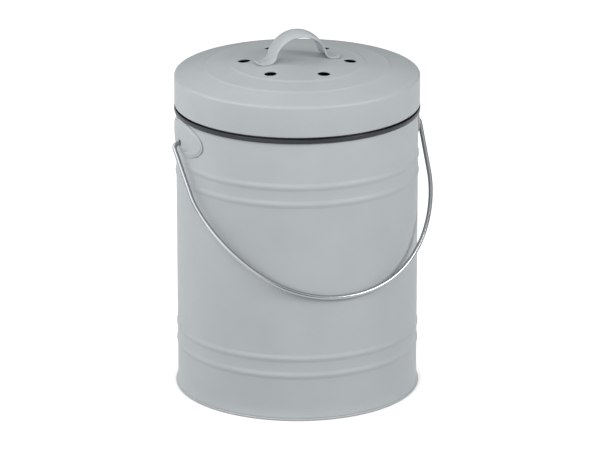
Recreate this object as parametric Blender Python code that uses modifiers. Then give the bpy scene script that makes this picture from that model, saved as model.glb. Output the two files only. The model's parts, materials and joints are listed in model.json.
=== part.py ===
"""Steel compost pail with a lift-out plastic bucket, a vented lid with a carbon filter, and a wire bail.

Units are metres, +Z is up, and the origin is on the floor at the pail's axis. The bail's hinge axis and the lid's
handle lie along X, and the bail rests on the front of the wall, towards -Y.
"""

import math

import bmesh
import bpy
from mathutils import Vector
from mathutils.geometry import interpolate_bezier

# Shared sizes
STEPS_ROUND = 32
SHEET = 0.0006
CONTACT_GAP = 0.0003
CUTTER_OVERRUN = 0.002

# Pail wall: one sheet, with its beads the same distance from both ends
WALL_RADIUS = 0.0906
WALL_TOP = 0.2162
WALL_FLARE = 0.0004
FLARE_HEIGHT = 0.0055
BEAD_FROM_END = 0.0350
BEAD_SPACING = 0.0133
BEAD_WIDTH = 0.0070
BEAD_LIFT = 0.0009
HEM_GAP = 0.0005
HEM_DEPTH = 0.0040
# Places across a bead, and how much of its lift each has
BEAD_SHARES = ((-1.0, 0.0), (-0.5, 0.5), (0.0, 1.0), (0.5, 0.5), (1.0, 0.0))

# Base pan: its edge is folded round the foot of the wall
CHIME_HEIGHT = 0.0030
CHIME_FOLD = 0.0003
BASE_RECESS = 0.0049
BASE_FILLET = 0.0009
BASE_RING_RADIUS = 0.0700
BASE_RING_WIDTH = 0.0030
BASE_RING_STEP = 0.0010

# Ears: an oval plate on the wall, with a low dome round the bail's hole
HINGE_DROP = 0.0187
EAR_SHEET = 0.0006
EAR_HALF_WIDTH = 0.0313
EAR_HALF_HEIGHT = 0.0128
EAR_RISE = 0.0043
EAR_FLANGE = 0.0022
EAR_PRESS_STEP = 0.0004
EAR_PRESS_WIDTH = 0.0006
EAR_DOME_LIFT = 0.0021
EAR_FACE_RADIUS = 0.0045
EAR_STEPS_ROUND = 28
EAR_DOME_RINGS = 4

# Bail: round wire, its ends turned in to the ears
WIRE_RADIUS = 0.0015
EAR_HOLE_RADIUS = 0.0024
BAIL_REACH = 0.1373
BAIL_TOP_OFFSET = 0.0074
BAIL_TURN_RADIUS = 0.0045
BAIL_SHOULDER_DROP = 0.047
BAIL_LID_CLEARANCE = 0.0010
BAIL_SHOULDER_PULL = 0.046
BAIL_BOW_PULL = 0.063
WIRE_END_GAP = 0.0013
BOW_POINTS = 26
TURN_POINTS = 5

# Inner bucket: its lip hooks over the wall, and its collar stands inside the lid
PLASTIC = 0.0016
RIM_THICKNESS = 0.0018
RIM_EDGE = 0.0005
LIP_THICKNESS = 0.0010
LIP_DROP = 0.0012
BUCKET_CLEARANCE = 0.0004
BUCKET_TAPER = 0.0046
BUCKET_FLOOR_GAP = 0.0030
BUCKET_FILLET = 0.0060
COLLAR_CLEARANCE = 0.0005
COLLAR_EDGE = 0.0006
FILLET_POINTS = 4
HEM_POINTS = 5

# Lid: hemmed skirt, rounded corner and a dome in three steps
LID_OVERHANG = 0.0011
LID_RIM_GAP = 0.0013
LID_SKIRT = 0.0237
LID_CORNER = 0.0022
LID_HEM_GAP = 0.0004
LID_HEM_DEPTH = 0.0040
STEP_HALF_WIDTH = 0.0010
OUTER_STEP_RADIUS = 0.0688
OUTER_STEP_FOOT = 0.0044
OUTER_STEP_RISE = 0.0007
INNER_STEP_RADIUS = 0.0499
INNER_STEP_FOOT = 0.0070
INNER_STEP_RISE = 0.0007
CROWN_RISE = 0.0104
VENT_COUNT = 6
VENT_RADIUS = 0.00425
VENT_CIRCLE = 0.0394
VENT_TURN = math.radians(-20.5)
VENT_STEPS = 14

# Lid handle: a crowned strap, flat at its feet
STRAP_SHEET = 0.0010
STRAP_WIDTH = 0.0175
STRAP_HALF_SPAN = 0.0346
STRAP_ARCH_HALF = 0.0195
STRAP_ARCH_HEIGHT = 0.0222
STRAP_FOOT_BEND = 0.0040
STRAP_CROWN = 0.0020
STRAP_ARCH_TURN = math.radians(80)
STRAP_TIP_RADIUS = 0.0060
ARCH_POINTS = 12
BEND_POINTS = 3
TIP_POINTS = 4
# Places across the strap, from edge to edge
STRAP_ACROSS_SHARES = (-1.0, -0.9, -0.5, 0.0, 0.5, 0.9, 1.0)

# Filter: a holder ring under the dome, a pad, and a perforated cover that pushes into the holder
HOLDER_RADIUS = 0.0573
HOLDER_WALL = 0.0016
HOLDER_FLANGE = 0.0050
HOLDER_DEPTH = 0.0130
FIT_CLEARANCE = 0.0003
COVER_THICKNESS = 0.0016
COVER_WALL = 0.0014
COVER_WALL_HEIGHT = 0.0060
COVER_FLANGE = 0.0012
PAD_THICKNESS = 0.0090
PAD_EDGE = 0.0015
PAD_CLEARANCE = 0.0005
SLOT_RINGS = 3
SLOTS_ROUND = 6
SLOT_FIRST_RADIUS = 0.0120
SLOT_WIDTH = 0.0080
SLOT_BRIDGE = 0.0050
SLOT_STEPS = 4
TAB_WIDTH = 0.0160
TAB_REACH = 0.0060
TAB_CORNER = 0.0020
TAB_INSET = 0.0002

# Places worked out from the sizes above
WALL_MID = WALL_RADIUS - SHEET / 2
HINGE_Z = WALL_TOP - HINGE_DROP
RIM_TOP = WALL_TOP + CONTACT_GAP + RIM_THICKNESS
RIM_RADIUS = WALL_RADIUS + CONTACT_GAP + LIP_THICKNESS
LID_RADIUS = WALL_RADIUS + LID_OVERHANG
LID_BOTTOM = RIM_TOP + LID_RIM_GAP
LID_SHOULDER = LID_BOTTOM + LID_SKIRT
COLLAR_RADIUS = LID_RADIUS - 2 * SHEET - LID_HEM_GAP - COLLAR_CLEARANCE
HOLE_RISE = EAR_HOLE_RADIUS - WIRE_RADIUS - CONTACT_GAP


def clear_scene():
    for obj in list(bpy.data.objects):
        bpy.data.objects.remove(obj)
    for mesh in list(bpy.data.meshes):
        bpy.data.meshes.remove(mesh)


def make_collection(name):
    collection = bpy.data.collections.new(name)
    bpy.context.scene.collection.children.link(collection)
    return collection


def make_material(name, colour, roughness, metallic=0.0):
    material = bpy.data.materials.new(name)
    material.use_nodes = True
    shader = material.node_tree.nodes["Principled BSDF"]
    shader.inputs["Base Color"].default_value = (*colour, 1.0)
    shader.inputs["Roughness"].default_value = roughness
    shader.inputs["Metallic"].default_value = metallic
    material.diffuse_color = (*colour, 1.0)
    return material


def world_place(obj):
    """An unturned object's place in the world, which is its own location and those of all its parents."""
    place = Vector(obj.location)
    while obj.parent:
        obj = obj.parent
        place += obj.location
    return place


def add_object(name, data, material, collection, parent=None):
    obj = bpy.data.objects.new(name, data)
    collection.objects.link(obj)
    if material:
        data.materials.append(material)
    if parent:
        obj.parent = parent
        obj.location = -world_place(parent)
    return obj


def add_pivot(name, location, collection, parent=None):
    pivot = bpy.data.objects.new(name, None)
    pivot.empty_display_size = WALL_RADIUS / 2
    collection.objects.link(pivot)
    pivot.location = location
    if parent:
        pivot.location -= world_place(parent)
        pivot.parent = parent
    return pivot


def arc(centre_x, centre_z, radius, start, end, count):
    """Points on an arc in the XZ plane, with both ends, for angles in degrees from +X towards +Z."""
    points = []
    for i in range(count):
        angle = math.radians(start + (end - start) * i / (count - 1))
        points.append((centre_x + radius * math.cos(angle), centre_z + radius * math.sin(angle)))
    return points


def turned(name, profile, material, collection, parent=None, sheet=None):
    """A profile turned about Z: a closed outline makes a solid, and with a sheet thickness an open one makes a shell."""
    mesh = bpy.data.meshes.new(name)
    edges = [(i, i + 1) for i in range(len(profile) - 1)]
    on_axis = profile[0][0] == 0 and profile[-1][0] == 0
    if sheet is None and not on_axis:
        edges.append((len(profile) - 1, 0))
    mesh.from_pydata([(x, 0, z) for x, z in profile], edges, [])
    obj = add_object(name, mesh, material, collection, parent)
    screw = obj.modifiers.new("Turn", "SCREW")
    screw.steps = screw.render_steps = STEPS_ROUND
    screw.use_merge_vertices = True
    screw.merge_threshold = 0.00001
    if sheet is not None:
        add_thickness(obj, sheet)
    return obj


def add_thickness(obj, sheet):
    solidify = obj.modifiers.new("Sheet", "SOLIDIFY")
    solidify.thickness = sheet
    solidify.offset = 0
    solidify.use_even_offset = True
    return solidify


def cut(obj, cutter, name):
    cutter.hide_render = True
    cutter.display_type = "WIRE"
    boolean = obj.modifiers.new(name, "BOOLEAN")
    boolean.operation = "DIFFERENCE"
    boolean.object = cutter


def join(obj, other, name):
    other.hide_render = True
    other.display_type = "WIRE"
    boolean = obj.modifiers.new(name, "BOOLEAN")
    boolean.operation = "UNION"
    boolean.object = other


def bead_centres():
    lower = [BEAD_FROM_END, BEAD_FROM_END + BEAD_SPACING]
    return lower + [WALL_TOP - z for z in reversed(lower)]


def make_wall(material, collection):
    foot = SHEET + CONTACT_GAP
    profile = [
        (WALL_MID + WALL_FLARE, foot),
        (WALL_MID + WALL_FLARE, CHIME_HEIGHT),
        (WALL_MID, CHIME_HEIGHT + FLARE_HEIGHT),
    ]
    for centre in bead_centres():
        for place, lift in BEAD_SHARES:
            profile.append((WALL_MID + BEAD_LIFT * lift, centre + BEAD_WIDTH / 2 * place))
    hem_width = SHEET + HEM_GAP
    fold = hem_width / 2
    fold_z = WALL_TOP - SHEET / 2 - fold
    profile += arc(WALL_MID - fold, fold_z, fold, 0, 180, HEM_POINTS)
    profile.append((WALL_MID - hem_width, fold_z - HEM_DEPTH))
    return turned("pail_wall", profile, material, collection, sheet=SHEET)


def make_base(material, collection):
    outer = WALL_MID + WALL_FLARE + SHEET + CONTACT_GAP
    inner = WALL_MID + WALL_FLARE - SHEET - CONTACT_GAP
    floor = SHEET / 2
    ring_in = BASE_RING_RADIUS - BASE_RING_WIDTH / 2
    ring_out = BASE_RING_RADIUS + BASE_RING_WIDTH / 2
    profile = [
        (outer, CHIME_HEIGHT),
        (outer, floor + CHIME_FOLD),
        (outer - CHIME_FOLD, floor),
        (inner + CHIME_FOLD, floor),
        (inner, floor + CHIME_FOLD),
        (inner, BASE_RECESS - BASE_FILLET),
        (inner - BASE_FILLET, BASE_RECESS),
        (ring_out, BASE_RECESS),
        (ring_in, BASE_RECESS + BASE_RING_STEP),
        (0, BASE_RECESS + BASE_RING_STEP),
    ]
    return turned("base_pan", profile, material, collection, sheet=SHEET)


def ear_rings():
    """Rings of the ear from the bail's hole to the edge, each a list of (arc along the wall, height, lift)."""
    centre_z = HINGE_Z + HOLE_RISE
    plate_z = HINGE_Z + EAR_RISE
    press_width = EAR_HALF_WIDTH - EAR_FLANGE
    press_height = EAR_HALF_HEIGHT - EAR_FLANGE
    rings = [[] for _ in range(EAR_DOME_RINGS + 4)]
    for i in range(EAR_STEPS_ROUND):
        angle = 2 * math.pi * i / EAR_STEPS_ROUND
        c, s = math.cos(angle), math.sin(angle)
        face = Vector((EAR_FACE_RADIUS * c, centre_z + EAR_FACE_RADIUS * s))
        press = Vector((press_width * c, plate_z + press_height * s))
        rings[0].append((EAR_HOLE_RADIUS * c, centre_z + EAR_HOLE_RADIUS * s, EAR_DOME_LIFT))
        for k in range(EAR_DOME_RINGS + 1):
            share = k / EAR_DOME_RINGS
            place = face.lerp(press, share)
            fall = 0.5 + 0.5 * math.cos(math.pi * share)
            lift = EAR_PRESS_STEP + (EAR_DOME_LIFT - EAR_PRESS_STEP) * fall
            rings[k + 1].append((place.x, place.y, lift))
        foot_width, foot_height = press_width + EAR_PRESS_WIDTH, press_height + EAR_PRESS_WIDTH
        rings[-2].append((foot_width * c, plate_z + foot_height * s, 0))
        rings[-1].append((EAR_HALF_WIDTH * c, plate_z + EAR_HALF_HEIGHT * s, 0))
    return rings


def make_ear(name, side, material, collection):
    """A loft from the round hole to the oval edge, laid on the wall's curve. side is 1 for +X and -1 for -X."""
    bm = bmesh.new()
    plate_radius = WALL_RADIUS + CONTACT_GAP + EAR_SHEET / 2
    loops = []
    for ring in ear_rings():
        loop = []
        for along, z, lift in ring:
            angle = along / WALL_RADIUS
            radius = plate_radius + lift
            loop.append(bm.verts.new((side * radius * math.cos(angle), radius * math.sin(angle), z)))
        loops.append(loop)
    for near, far in zip(loops, loops[1:]):
        for i in range(EAR_STEPS_ROUND):
            j = (i + 1) % EAR_STEPS_ROUND
            quad = (near[i], far[i], far[j], near[j])
            bm.faces.new(quad if side > 0 else quad[::-1])
    mesh = bpy.data.meshes.new(name)
    bm.to_mesh(mesh)
    bm.free()
    mesh.shade_smooth()
    ear = add_object(name, mesh, material, collection)
    add_thickness(ear, EAR_SHEET)
    return ear


def bail_half():
    """Centre line of half the bail as (distance from the pail's axis, distance from the hinge axis)."""
    shoulder = Vector((max(RIM_RADIUS, LID_RADIUS) + WIRE_RADIUS + BAIL_LID_CLEARANCE, BAIL_SHOULDER_DROP))
    corner = Vector((WALL_RADIUS + BAIL_TOP_OFFSET, 0))
    leg = (shoulder - corner).normalized()
    half_turn = math.acos(-leg.x) / 2
    cut_back = BAIL_TURN_RADIUS / math.tan(half_turn)
    start = corner - Vector((cut_back, 0))
    centre = start + Vector((0, BAIL_TURN_RADIUS))
    sweep = math.pi - 2 * half_turn
    points = [Vector((WALL_RADIUS + WIRE_END_GAP, 0))]
    for i in range(TURN_POINTS):
        angle = -math.pi / 2 + sweep * i / (TURN_POINTS - 1)
        points.append(centre + BAIL_TURN_RADIUS * Vector((math.cos(angle), math.sin(angle))))
    middle = Vector((0, BAIL_REACH))
    shoulder_pull = shoulder + leg * BAIL_SHOULDER_PULL
    bow_pull = middle + Vector((BAIL_BOW_PULL, 0))
    bow = interpolate_bezier(shoulder, shoulder_pull, bow_pull, middle, BOW_POINTS)
    return points + [Vector((p.x, p.y)) for p in bow]


def bail_lean():
    """The bail's angle from straight down when its bow rests on the wall, from the first point to reach it."""
    reach = WALL_RADIUS + WIRE_RADIUS + CONTACT_GAP
    steepest = 0.0
    for out, down in bail_half():
        if out < reach and down > 0:
            steepest = max(steepest, math.sqrt(reach**2 - out**2) / down)
    return math.asin(min(1.0, steepest))


def make_bail(material, collection, pivot):
    half = bail_half()
    lean = bail_lean()
    line = [(-p.x, p.y) for p in half] + [(p.x, p.y) for p in reversed(half[:-1])]
    curve = bpy.data.curves.new("bail_wire", "CURVE")
    curve.dimensions = "3D"
    curve.bevel_depth = WIRE_RADIUS
    curve.bevel_resolution = 2
    curve.use_fill_caps = True
    spline = curve.splines.new("POLY")
    spline.points.add(len(line) - 1)
    for point, (across, down) in zip(spline.points, line):
        point.co = (across, -down * math.sin(lean), -down * math.cos(lean), 1)
    bail = add_object("bail_wire", curve, material, collection)
    bail.parent = pivot
    return bail


def bucket_outline():
    """The bucket's outline from the middle of its floor, up its inner side and down its outer side."""
    hem_face = WALL_MID - SHEET - HEM_GAP - SHEET / 2
    top_radius = hem_face - BUCKET_CLEARANCE
    foot_radius = top_radius - BUCKET_TAPER
    floor = BASE_RECESS + BASE_RING_STEP + SHEET / 2 + BUCKET_FLOOR_GAP
    under_rim = WALL_TOP + CONTACT_GAP
    lip_inner = WALL_RADIUS + CONTACT_GAP
    collar_top = LID_SHOULDER - SHEET - CONTACT_GAP
    inner_top = COLLAR_RADIUS - PLASTIC
    inner_fillet = BUCKET_FILLET - PLASTIC
    inner_floor = floor + PLASTIC + inner_fillet
    outline = [(0, floor + PLASTIC)]
    outline += arc(foot_radius - BUCKET_FILLET, inner_floor, inner_fillet, -90, 0, FILLET_POINTS)
    outline += [
        (top_radius - PLASTIC, under_rim),
        (inner_top, RIM_TOP),
        (inner_top, collar_top - COLLAR_EDGE),
        (inner_top + COLLAR_EDGE, collar_top),
        (COLLAR_RADIUS - COLLAR_EDGE, collar_top),
        (COLLAR_RADIUS, collar_top - COLLAR_EDGE),
        (COLLAR_RADIUS, RIM_TOP),
        (RIM_RADIUS - RIM_EDGE, RIM_TOP),
        (RIM_RADIUS, RIM_TOP - RIM_EDGE),
        (RIM_RADIUS, WALL_TOP - LIP_DROP),
        (lip_inner, WALL_TOP - LIP_DROP),
        (lip_inner, under_rim),
        (top_radius, under_rim),
    ]
    outline += arc(foot_radius - BUCKET_FILLET, floor + BUCKET_FILLET, BUCKET_FILLET, 0, -90, FILLET_POINTS)
    outline.append((0, floor))
    return outline


def make_bucket(material, collection, pivot):
    return turned("inner_bucket", bucket_outline(), material, collection, pivot)


def dome_points():
    """The lid's outer surface inside its corner, from the outer step to the middle."""
    return [
        (OUTER_STEP_RADIUS + STEP_HALF_WIDTH, LID_SHOULDER + OUTER_STEP_FOOT),
        (OUTER_STEP_RADIUS - STEP_HALF_WIDTH, LID_SHOULDER + OUTER_STEP_FOOT + OUTER_STEP_RISE),
        (INNER_STEP_RADIUS + STEP_HALF_WIDTH, LID_SHOULDER + INNER_STEP_FOOT),
        (INNER_STEP_RADIUS - STEP_HALF_WIDTH, LID_SHOULDER + INNER_STEP_FOOT + INNER_STEP_RISE),
        (VENT_CIRCLE / 2, LID_SHOULDER + CROWN_RISE - SHEET / 2),
        (0, LID_SHOULDER + CROWN_RISE),
    ]


def dome_height(radius):
    """Height of the lid's outer surface at a distance from its axis, inside its outer step."""
    points = dome_points()
    for (r_out, z_out), (r_in, z_in) in zip(points, points[1:]):
        if radius >= r_in:
            share = (radius - r_in) / (r_out - r_in)
            return z_in + (z_out - z_in) * share
    return points[-1][1]


def lid_midline():
    mid = LID_RADIUS - SHEET / 2
    hem_width = SHEET + LID_HEM_GAP
    fold = hem_width / 2
    fold_z = LID_BOTTOM + SHEET / 2 + fold
    outer = [(r, z - SHEET / 2) for r, z in reversed(dome_points())]
    corner_radius = LID_CORNER - SHEET / 2
    corner = (LID_RADIUS - LID_CORNER, LID_SHOULDER - LID_CORNER)
    slope_run = corner[0] - outer[-1][0]
    slope = math.degrees(math.atan2(OUTER_STEP_FOOT, slope_run))
    line = outer + arc(*corner, corner_radius, 90 - slope, 0, FILLET_POINTS)
    line += arc(mid - fold, fold_z, fold, 0, -180, HEM_POINTS)
    line.append((mid - hem_width, fold_z + LID_HEM_DEPTH))
    return line


def make_vent_cutter(collection):
    bm = bmesh.new()
    low = LID_SHOULDER
    height = CROWN_RISE + CUTTER_OVERRUN
    for i in range(VENT_COUNT):
        angle = VENT_TURN + 2 * math.pi * i / VENT_COUNT
        made = bmesh.ops.create_cone(
            bm, cap_ends=True, segments=VENT_STEPS, radius1=VENT_RADIUS, radius2=VENT_RADIUS, depth=height
        )
        place = (VENT_CIRCLE * math.cos(angle), VENT_CIRCLE * math.sin(angle), low + height / 2)
        bmesh.ops.translate(bm, verts=made["verts"], vec=place)
    mesh = bpy.data.meshes.new("vent_cutter")
    bm.to_mesh(mesh)
    bm.free()
    return add_object("vent_cutter", mesh, None, collection)


def make_lid(material, collection, cutters, pivot):
    lid = turned("lid_cap", lid_midline(), material, collection, pivot, sheet=SHEET)
    cut(lid, make_vent_cutter(cutters), "Vents")
    return lid


def strap_line():
    """Half of the strap's middle line from the top of the arch to the foot's tip, as (x, rise over the dome, crown)."""
    base = CONTACT_GAP + STRAP_SHEET / 2
    arch_height = STRAP_ARCH_HEIGHT - base
    line = []
    for i in range(ARCH_POINTS):
        angle = STRAP_ARCH_TURN * i / (ARCH_POINTS - 1)
        line.append((STRAP_ARCH_HALF * math.sin(angle), base + arch_height * math.cos(angle)))
    x0, z0 = line[-1]
    for i in range(1, BEND_POINTS + 1):
        turn = math.pi / 2 * i / BEND_POINTS
        line.append((x0 + STRAP_FOOT_BEND * (1 - math.cos(turn)), z0 + (base - z0) * math.sin(turn)))
    flat_end = STRAP_HALF_SPAN - STRAP_TIP_RADIUS
    for i in range(TIP_POINTS):
        turn = math.pi / 2 * i / (TIP_POINTS - 1)
        line.append((flat_end + STRAP_TIP_RADIUS * math.sin(turn), base))
    return [(x, rise, STRAP_CROWN * math.sqrt(max(0.0, rise - base) / arch_height)) for x, rise in line]


def strap_half_width(x):
    """Half of the strap's width, which narrows round the foot's tip."""
    past = x - (STRAP_HALF_SPAN - STRAP_TIP_RADIUS)
    if past <= 0:
        return STRAP_WIDTH / 2
    inset = STRAP_TIP_RADIUS - math.sqrt(max(0.0, STRAP_TIP_RADIUS**2 - past**2))
    return STRAP_WIDTH / 2 - inset


def make_strap(material, collection, pivot):
    """A loft of cross-sections that are crowned on the arch and lie on the dome at the feet."""
    half = strap_line()
    line = [(-x, rise, crown) for x, rise, crown in reversed(half)] + half[1:]
    arch_base = STRAP_ARCH_HEIGHT
    bm = bmesh.new()
    rows = []
    for x, rise, crown in line:
        row = []
        half_width = strap_half_width(abs(x))
        lifted = min(1.0, rise / arch_base)
        for share in STRAP_ACROSS_SHARES:
            y = half_width * share
            on_dome = dome_height(math.hypot(x, y))
            level = dome_height(0) * lifted + on_dome * (1 - lifted)
            row.append(bm.verts.new((x, y, level + rise - crown * share**2)))
        rows.append(row)
    for near, far in zip(rows, rows[1:]):
        for a, b, c, d in zip(near, near[1:], far[1:], far):
            bm.faces.new((a, d, c, b))
    mesh = bpy.data.meshes.new("lid_handle")
    bm.to_mesh(mesh)
    bm.free()
    mesh.shade_smooth()
    strap = add_object("lid_handle", mesh, material, collection, pivot)
    add_thickness(strap, STRAP_SHEET)
    return strap


def holder_top():
    """Height of the holder's top face, which follows the dome's underside at the holder's flange."""
    flange_edge = HOLDER_RADIUS + HOLDER_FLANGE
    return dome_height(flange_edge) - SHEET - CONTACT_GAP


def make_holder(material, collection, pivot):
    outer = HOLDER_RADIUS + HOLDER_WALL
    edge = HOLDER_RADIUS + HOLDER_FLANGE
    top = holder_top()
    under = top - HOLDER_WALL
    inner_top = dome_height(HOLDER_RADIUS) - SHEET - CONTACT_GAP
    outline = [
        (edge, top),
        (edge, under),
        (outer, under),
        (outer, top - HOLDER_DEPTH),
        (HOLDER_RADIUS, top - HOLDER_DEPTH),
        (HOLDER_RADIUS, inner_top),
    ]
    return turned("filter_holder", outline, material, collection, pivot)


def cover_levels():
    """Heights of the cover's plate: its lower and upper faces."""
    upper = holder_top() - HOLDER_DEPTH - CONTACT_GAP
    return upper - COVER_THICKNESS, upper


def add_prism(bm, outline, low, high):
    """An upright prism between two heights over a flat outline of (x, y) points."""
    face = bm.faces.new([bm.verts.new((x, y, low)) for x, y in outline])
    made = bmesh.ops.extrude_face_region(bm, geom=[face])
    top = [item for item in made["geom"] if isinstance(item, bmesh.types.BMVert)]
    bmesh.ops.translate(bm, verts=top, vec=(0, 0, high - low))


def finish_prisms(bm, name, collection):
    bmesh.ops.recalc_face_normals(bm, faces=bm.faces)
    mesh = bpy.data.meshes.new(name)
    bm.to_mesh(mesh)
    bm.free()
    return add_object(name, mesh, None, collection)


def make_slot_cutter(collection, low, high):
    """Curved slots in rings, each an arc-shaped prism through the cover's plate."""
    bm = bmesh.new()
    for ring in range(SLOT_RINGS):
        inner = SLOT_FIRST_RADIUS + ring * (SLOT_WIDTH + SLOT_BRIDGE)
        outer = inner + SLOT_WIDTH
        for slot in range(SLOTS_ROUND):
            middle = 2 * math.pi * slot / SLOTS_ROUND + math.pi / SLOTS_ROUND * (ring % 2)
            corners = []
            for radius, order in ((inner, 1), (outer, -1)):
                half = math.pi / SLOTS_ROUND - math.asin(SLOT_BRIDGE / 2 / radius)
                side = []
                for i in range(SLOT_STEPS):
                    angle = middle - half + 2 * half * i / (SLOT_STEPS - 1)
                    side.append((radius * math.cos(angle), radius * math.sin(angle)))
                corners += side[::order]
            add_prism(bm, corners, low, high)
    return finish_prisms(bm, "slot_cutter", collection)


def make_tab(collection, low, high):
    """The finger tab, a plate with rounded corners that starts inside the cover's flange."""
    start = HOLDER_RADIUS
    end = HOLDER_RADIUS + HOLDER_WALL + COVER_FLANGE + TAB_REACH
    curve_points = arc(end - TAB_CORNER, TAB_WIDTH / 2 - TAB_CORNER, TAB_CORNER, 90, 0, FILLET_POINTS)
    outline = [(start, TAB_WIDTH / 2)] + curve_points
    outline += [(x, -y) for x, y in reversed(outline)]
    bm = bmesh.new()
    add_prism(bm, outline, low, high)
    return finish_prisms(bm, "tab_block", collection)


def make_cover(material, collection, cutters, pivot):
    low, high = cover_levels()
    outer = HOLDER_RADIUS - FIT_CLEARANCE
    flange = HOLDER_RADIUS + HOLDER_WALL + COVER_FLANGE
    wall_top = high + COVER_WALL_HEIGHT
    outline = [
        (0, high),
        (outer - COVER_WALL, high),
        (outer - COVER_WALL, wall_top),
        (outer, wall_top),
        (outer, high),
        (flange, high),
        (flange, low),
        (0, low),
    ]
    cover = turned("filter_cover", outline, material, collection, pivot)
    cut(cover, make_slot_cutter(cutters, low - CUTTER_OVERRUN, high + CUTTER_OVERRUN), "Slots")
    join(cover, make_tab(cutters, low + TAB_INSET, high - TAB_INSET), "Tab")
    return cover


def make_pad(material, collection, pivot):
    low = cover_levels()[1] + CONTACT_GAP
    high = low + PAD_THICKNESS
    radius = HOLDER_RADIUS - FIT_CLEARANCE - COVER_WALL - PAD_CLEARANCE
    outline = [(0, high), (radius - PAD_EDGE, high), (radius, high - PAD_EDGE)]
    outline += [(radius, low + PAD_EDGE), (radius - PAD_EDGE, low), (0, low)]
    return turned("carbon_filter", outline, material, collection, pivot)


def main():
    clear_scene()
    pail = make_collection("compost_pail")
    cutters = make_collection("cutters")
    enamel = make_material("grey_powder_coat", (0.46, 0.48, 0.49), 0.45)
    plated = make_material("plated_wire", (0.72, 0.72, 0.70), 0.18, 1.0)
    plastic = make_material("black_plastic", (0.012, 0.012, 0.013), 0.40)
    carbon = make_material("carbon_felt", (0.010, 0.010, 0.010), 0.95)
    bail_pivot = add_pivot("bail_pivot", (0, 0, HINGE_Z), pail)
    bucket_lift = add_pivot("bucket_lift", (0, 0, WALL_TOP), pail)
    lid_lift = add_pivot("lid_lift", (0, 0, LID_BOTTOM), pail, bucket_lift)
    cover_pull = add_pivot("cover_pull", (0, 0, cover_levels()[0]), pail, lid_lift)
    make_wall(enamel, pail)
    make_base(enamel, pail)
    make_ear("ear_right", 1, enamel, pail)
    make_ear("ear_left", -1, enamel, pail)
    make_bail(plated, pail, bail_pivot)
    make_bucket(plastic, pail, bucket_lift)
    make_lid(enamel, pail, cutters, lid_lift)
    make_strap(enamel, pail, lid_lift)
    make_holder(plastic, pail, lid_lift)
    make_cover(plastic, pail, cutters, cover_pull)
    make_pad(carbon, pail, cover_pull)
    print("bail swing in degrees", round(360 - 2 * math.degrees(bail_lean()), 2))


main()
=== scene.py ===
"""Steel compost pail in a bright studio: a beaded, powder-coated body with a wire bail, a lift-out
plastic bucket and a vented lid that holds a carbon filter.

Units are metres, +Z is up, and the bail's axis and the lid's handle lie along X.
"""

import json
import math

import bmesh
import bpy
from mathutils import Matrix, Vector
from mathutils.geometry import interpolate_bezier


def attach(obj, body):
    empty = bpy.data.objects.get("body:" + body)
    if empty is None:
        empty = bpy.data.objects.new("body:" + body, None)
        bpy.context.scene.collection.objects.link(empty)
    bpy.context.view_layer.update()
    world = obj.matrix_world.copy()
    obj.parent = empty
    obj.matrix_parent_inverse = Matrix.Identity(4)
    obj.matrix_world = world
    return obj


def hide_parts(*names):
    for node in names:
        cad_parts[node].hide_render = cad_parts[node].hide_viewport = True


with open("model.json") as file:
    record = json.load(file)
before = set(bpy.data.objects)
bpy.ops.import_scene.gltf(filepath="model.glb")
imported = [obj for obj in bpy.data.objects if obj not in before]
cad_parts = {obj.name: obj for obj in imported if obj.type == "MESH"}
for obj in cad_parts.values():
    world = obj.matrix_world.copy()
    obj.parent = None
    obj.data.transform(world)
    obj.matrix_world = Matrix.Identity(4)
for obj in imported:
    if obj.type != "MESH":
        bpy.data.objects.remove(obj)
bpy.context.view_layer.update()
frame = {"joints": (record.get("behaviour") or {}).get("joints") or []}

MM = 0.001
TAU = 2 * math.pi

# Camera, as fitted to the photograph
PHOTO_WIDTH = 600
FOCAL_PIXELS = 4272.8
SENSOR_WIDTH = 36.0
CAMERA_TURN = math.radians(-20.5)
CAMERA_PITCH = math.radians(18.356)
CAMERA_DISTANCE = 3.22
CAMERA_ASIDE = 2.1 * MM
CAMERA_AIM_HEIGHT = 122.86 * MM

# Fineness of the turned, lofted and swept pieces
TURN_STEPS = 192
LID_STEPS = 288
EDGE_POINTS = 5
CORNER_POINTS = 7
HEM_POINTS = 13
BEVEL_SEGMENTS = 3
BEVEL_ANGLE = math.radians(60)
SHARP_ANGLE = math.radians(38)
MERGE_DISTANCE = 0.001 * MM
# How far a sheet's face may reach out at a sharp bend: half its thickness over this share
MITRE_SHARE = 0.5

# Sheet metal and gaps
SHEET = 0.6 * MM
GAP = 0.3 * MM
CUTTER_OVERRUN = 2.0 * MM

# Pail wall
WALL_RADIUS = 90.6 * MM
WALL_TOP = 216.2 * MM
BEAD_FROM_END = 35.0 * MM
BEAD_SPACING = 13.3 * MM
BEAD_WIDTH = 7.0 * MM
BEAD_LIFT = 0.7 * MM
BEAD_POINTS = 16
WALL_FLARE = 1.0 * MM
FLARE_HEIGHT = 8.0 * MM
FLARE_POINTS = 12
WALL_FOOT = 2.05 * MM
HEM_GAP = 0.5 * MM
HEM_DEPTH = 4.0 * MM
SEAM_WIDTH = 5.0 * MM
SEAM_LIFT = 0.22 * MM
SEAM_BURIED = 0.3 * MM
SEAM_POINTS = 13
SEAM_END_GAP = 1.6 * MM

# Base pan
FOOT_ROLL = 0.55 * MM
BASE_RECESS = 4.9 * MM
BASE_FILLET = 0.9 * MM
BASE_RING_RADIUS = 70.0 * MM
BASE_RING_WIDTH = 3.0 * MM
BASE_RING_STEP = 1.0 * MM

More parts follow.
